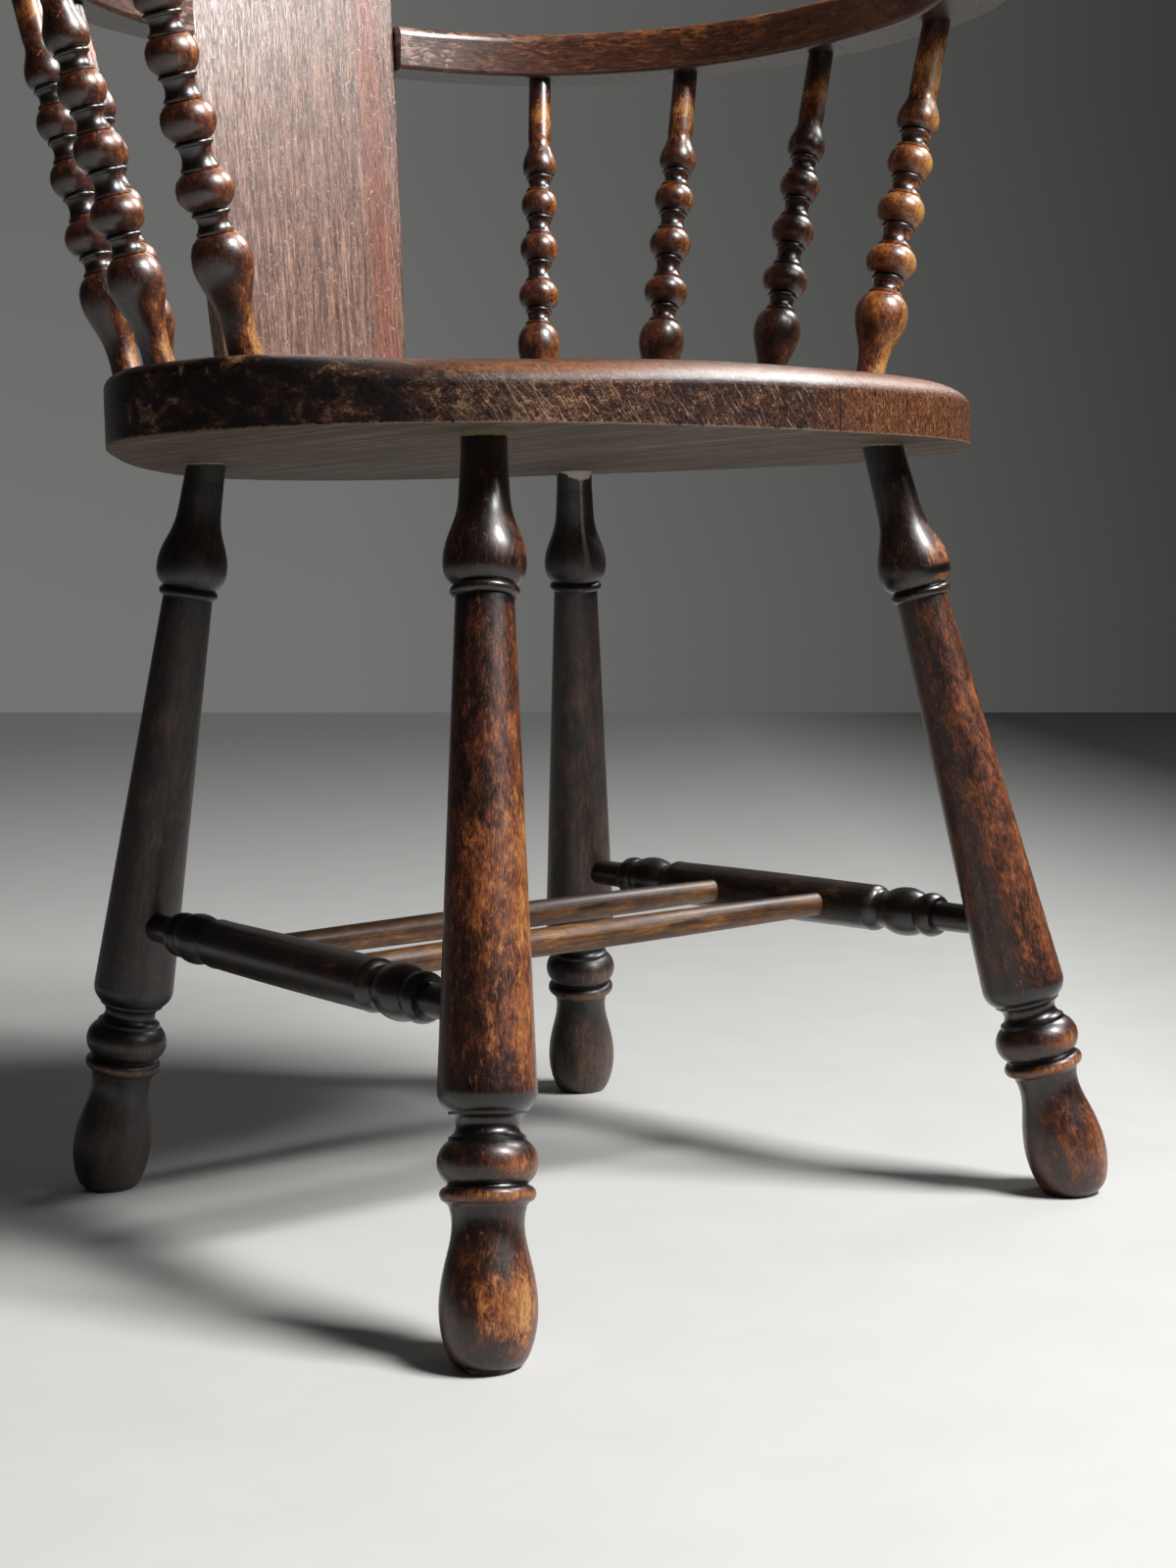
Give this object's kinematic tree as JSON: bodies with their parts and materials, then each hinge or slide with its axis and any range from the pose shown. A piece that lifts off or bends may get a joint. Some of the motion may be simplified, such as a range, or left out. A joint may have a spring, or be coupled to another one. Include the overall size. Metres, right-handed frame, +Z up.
{
  "type": "bobbin armchair",
  "caption": "Turned oak armchair with a saddled seat, splayed turned legs and stretchers, bobbin spindles under a bow-shaped arm, and a plank splat.",
  "frame": {"origin": "middle of the bounding box on the floor under the seat", "axes": "+Z up, -Y towards the front of the seat, +X to the sitter's left when seated, the right side as seen from the front"},
  "size_m": [0.5888, 0.4922, 0.8827],
  "materials": {
    "leg_oak": "dark stained oak, satin wax, worn to brown on the proud parts",
    "seat_oak": "dark stained oak board, worn and scratched satin polish",
    "stretcher_oak": "near-black stained oak, satin wax",
    "rod_oak": "mid-brown oak, thin worn polish",
    "spindle_oak": "red-brown stained oak, glossy polish, worn golden on the beads",
    "arm_oak": "dark stained oak, satin polish, worn on the top edge",
    "splat_oak": "red-brown stained oak plank with open pores, satin polish",
    "screw_steel": "dull aged steel"
  },
  "bodies": {
    "root": {"seat_board_left": "seat_oak", "seat_board_right": "seat_oak", "back_splat": "splat_oak", "arm_left": "arm_oak", "arm_right": "arm_oak", "splat_screws": "screw_steel", "leg_front_left": "leg_oak", "leg_front_right": "leg_oak", "leg_rear_left": "leg_oak", "leg_rear_right": "leg_oak", "arm_spindle_left_1": "spindle_oak", "arm_spindle_left_2": "spindle_oak", "arm_spindle_left_3": "spindle_oak", "arm_spindle_left_4": "spindle_oak", "arm_spindle_right_1": "spindle_oak", "arm_spindle_right_2": "spindle_oak", "arm_spindle_right_3": "spindle_oak", "arm_spindle_right_4": "spindle_oak", "side_stretcher_left": "stretcher_oak", "side_stretcher_right": "stretcher_oak", "cross_stretcher_front": "rod_oak", "cross_stretcher_rear": "rod_oak"}
  },
  "joints": []
}
